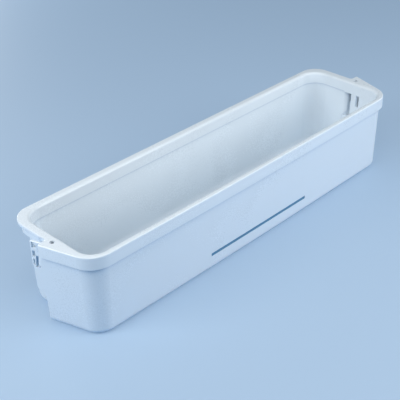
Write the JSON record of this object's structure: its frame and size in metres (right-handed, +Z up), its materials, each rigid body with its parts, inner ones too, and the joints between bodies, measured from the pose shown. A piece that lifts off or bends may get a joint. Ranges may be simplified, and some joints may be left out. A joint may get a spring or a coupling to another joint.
{
  "type": "fridge door shelf",
  "caption": "Long open-topped moulded shelf for a fridge door, with a lipped rim, tapered hollow end wings for hanging and a coloured line on the front.",
  "frame": {"origin": "centre of the bounding box in plan, at the underside", "axes": "+X along the shelf, to the right seen from the front; -Y towards the room, out of the shelf's front; +Z up"},
  "size_m": [0.4369, 0.1078, 0.084],
  "materials": {
    "white_plastic": "satin moulded white plastic with a grey-blue line on the front"
  },
  "bodies": {
    "root": {"door_shelf": "white_plastic"}
  },
  "joints": []
}
